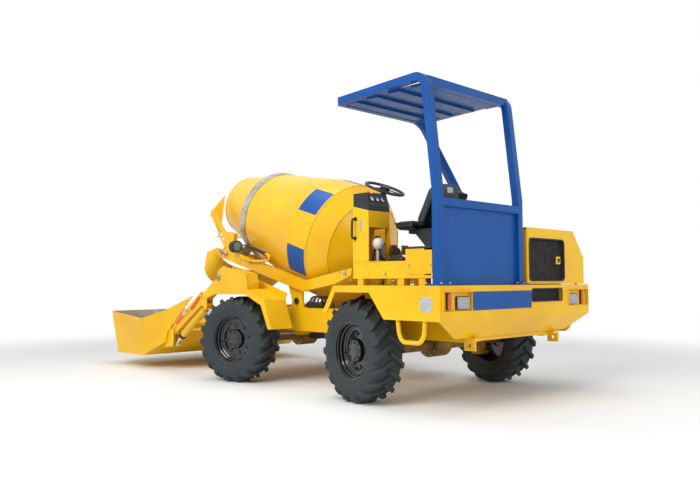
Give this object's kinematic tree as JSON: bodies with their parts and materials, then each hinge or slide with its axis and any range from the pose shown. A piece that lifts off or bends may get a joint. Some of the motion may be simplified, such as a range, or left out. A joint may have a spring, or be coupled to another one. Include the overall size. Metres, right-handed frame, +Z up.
{
  "type": "self-loading concrete mixer",
  "caption": "Compact wheeled mixer that scoops its own aggregate with a front bucket, mixes it in a tilting drum and pours it from the mouth at the front.",
  "frame": {"origin": "on the ground under the middle of the machine's overall box", "axes": "+X forward towards the loading bucket, +Y to the machine's left, +Z up"},
  "size_m": [4.646, 2.0572, 2.31],
  "materials": {
    "black": "matte",
    "blue": "gloss enamel",
    "chrome": "polished",
    "dark": "dull",
    "lamp": "clear red lens",
    "rim_black": "gloss black",
    "seat": "vinyl",
    "steel": "worn bright",
    "tyre": "matte rubber",
    "white": "translucent white",
    "yellow": "gloss enamel"
  },
  "bodies": {
    "chassis": {"access_steps": "yellow", "canopy": "blue", "console": "yellow", "engine_block": "dark", "fender_left": "yellow", "fender_right": "yellow", "frame_members": "yellow", "frame_rail_left": "yellow", "frame_rail_right": "yellow", "front_axle": "dark", "instrument_box": "black", "operator_platform": "yellow", "radiator": "dark", "rear_axle": "dark", "rear_body": "yellow", "reservoir": "white", "roll_frame": "blue", "seat_back": "seat", "seat_base": "black", "seat_cushion": "seat", "side_tank": "black", "tail_lamps": "lamp", "valve_block": "dark"},
    "knuckle_front_left": {"knuckle_front_left": "dark"},
    "knuckle_front_right": {"knuckle_front_right": "dark"},
    "knuckle_rear_left": {"knuckle_rear_left": "dark"},
    "knuckle_rear_right": {"knuckle_rear_right": "dark"},
    "wheel_front_left": {"tyre_front_left": "tyre", "rim_front_left": "rim_black"},
    "wheel_front_right": {"tyre_front_right": "tyre", "rim_front_right": "rim_black"},
    "wheel_rear_left": {"tyre_rear_left": "tyre", "rim_rear_left": "rim_black"},
    "wheel_rear_right": {"tyre_rear_right": "tyre", "rim_rear_right": "rim_black"},
    "drum_cradle": {"drum_frame": "yellow", "gearmotor": "dark", "drum_rollers": "steel", "hopper": "yellow", "discharge_chute": "yellow", "headlamp": "black"},
    "drum": {"drum_shell": "yellow", "drum_ring": "steel"},
    "jack_barrel": {"jack_barrel": "yellow"},
    "jack_rod": {"jack_rod": "chrome"},
    "arms": {"loader_arms": "yellow"},
    "lift_barrels": {"lift_barrels": "yellow"},
    "lift_rods": {"lift_rods": "chrome"},
    "tilt_barrels": {"tilt_barrels": "yellow"},
    "tilt_rods": {"tilt_rods": "chrome"},
    "bucket": {"bucket": "yellow"},
    "hood": {"engine_hood": "yellow"},
    "handwheel": {"handwheel": "black"}
  },
  "joints": [
    {"name": "steer_front_left", "type": "hinge", "parent": "chassis", "child": "knuckle_front_left", "pos_m": [0.1795, 0.64, 0.38], "axis": [0, 0, 1], "range_deg": [-40.3, 9.7]},
    {"name": "spin_front_left", "type": "hinge", "parent": "knuckle_front_left", "child": "wheel_front_left", "pos_m": [0.13372, 0.80735, 0.38], "axis": [-0.2639, 0.9646, 0], "continuous": true},
    {"name": "steer_front_right", "type": "hinge", "parent": "chassis", "child": "knuckle_front_right", "pos_m": [0.1795, -0.64, 0.38], "axis": [0, 0, 1], "range_deg": [-40.3, 9.7]},
    {"name": "spin_front_right", "type": "hinge", "parent": "knuckle_front_right", "child": "wheel_front_right", "pos_m": [0.22528, -0.80735, 0.38], "axis": [-0.2639, 0.9646, 0], "continuous": true},
    {"name": "steer_rear_left", "type": "hinge", "parent": "chassis", "child": "knuckle_rear_left", "pos_m": [-1.4735, 0.64, 0.38], "axis": [0, 0, 1], "range_deg": [-7.09, 29.29]},
    {"name": "spin_rear_left", "type": "hinge", "parent": "knuckle_rear_left", "child": "wheel_rear_left", "pos_m": [-1.4401, 0.81025, 0.38], "axis": [0.1925, 0.9813, 0], "continuous": true},
    {"name": "steer_rear_right", "type": "hinge", "parent": "chassis", "child": "knuckle_rear_right", "pos_m": [-1.4735, -0.64, 0.38], "axis": [0, 0, 1], "range_deg": [-7.09, 29.29]},
    {"name": "spin_rear_right", "type": "hinge", "parent": "knuckle_rear_right", "child": "wheel_rear_right", "pos_m": [-1.5069, -0.81025, 0.38], "axis": [0.1925, 0.9813, 0], "continuous": true},
    {"name": "drum_tilt", "type": "hinge", "parent": "chassis", "child": "drum_cradle", "pos_m": [-0.306, 0, 0.719], "axis": [0, -1, 0], "range_deg": [-6, 8]},
    {"name": "drum_spin", "type": "hinge", "parent": "drum_cradle", "child": "drum", "pos_m": [0.153, 0, 1.43], "axis": [0.9563, 0, 0.2924], "continuous": true},
    {"name": "jack_swing", "type": "hinge", "parent": "chassis", "child": "jack_barrel", "pos_m": [-1.067, 0, 0.47], "axis": [0, -1, 0], "range_deg": [-0.49, 0.63]},
    {"name": "jack_stroke", "type": "slide", "parent": "jack_barrel", "child": "jack_rod", "axis": [0.1778, 0, 0.9841], "range_m": [-0.09877, 0.0742]},
    {"name": "loader_lift", "type": "hinge", "parent": "chassis", "child": "arms", "pos_m": [0.338, 0, 0.932], "axis": [0, -1, 0], "range_deg": [-3, 55]},
    {"name": "lift_swing", "type": "hinge", "parent": "chassis", "child": "lift_barrels", "pos_m": [-0.035, 0, 0.858], "axis": [0, -1, 0], "range_deg": [-2.02, 0.16]},
    {"name": "lift_stroke", "type": "slide", "parent": "lift_barrels", "child": "lift_rods", "axis": [0.9995, 0, -0.031], "range_m": [-0.00542, 0.09066]},
    {"name": "bucket_tilt", "type": "hinge", "parent": "arms", "child": "bucket", "pos_m": [1.198, 0, 0.4], "axis": [0, 1, 0], "range_deg": [0, 48]},
    {"name": "tilt_swing", "type": "hinge", "parent": "arms", "child": "tilt_barrels", "pos_m": [0.613, 0, 0.665], "axis": [0, -1, 0], "range_deg": [-2.3, 0.05]},
    {"name": "tilt_stroke", "type": "slide", "parent": "tilt_barrels", "child": "tilt_rods", "axis": [0.8318, 0, -0.555], "range_m": [-0.0968, 0.0005]},
    {"name": "hood_lid", "type": "hinge", "parent": "chassis", "child": "hood", "pos_m": [-1.847, -0.112, 1.301], "axis": [-1, 0, 0], "range_deg": [0, 65]},
    {"name": "handwheel_turn", "type": "hinge", "parent": "chassis", "child": "handwheel", "pos_m": [-1.532, 0.655, 1.592], "axis": [-0.4067, 0, 0.9135], "continuous": true}
  ],
  "couplings": [
    {"joint": "steer_front_right", "follows": "steer_front_left", "ratio": 1},
    {"joint": "steer_rear_left", "follows": "steer_front_left", "ratio": -0.72549},
    {"joint": "steer_rear_right", "follows": "steer_front_left", "ratio": -0.72549},
    {"joint": "jack_swing", "follows": "drum_tilt", "ratio": 0.07301},
    {"joint": "jack_stroke", "follows": "drum_tilt", "m_per_rad": -0.70381},
    {"joint": "lift_swing", "follows": "loader_lift", "ratio": -0.03578},
    {"joint": "lift_stroke", "follows": "loader_lift", "m_per_rad": 0.093928},
    {"joint": "tilt_swing", "follows": "bucket_tilt", "ratio": -0.04681},
    {"joint": "tilt_stroke", "follows": "bucket_tilt", "m_per_rad": -0.11496}
  ]
}
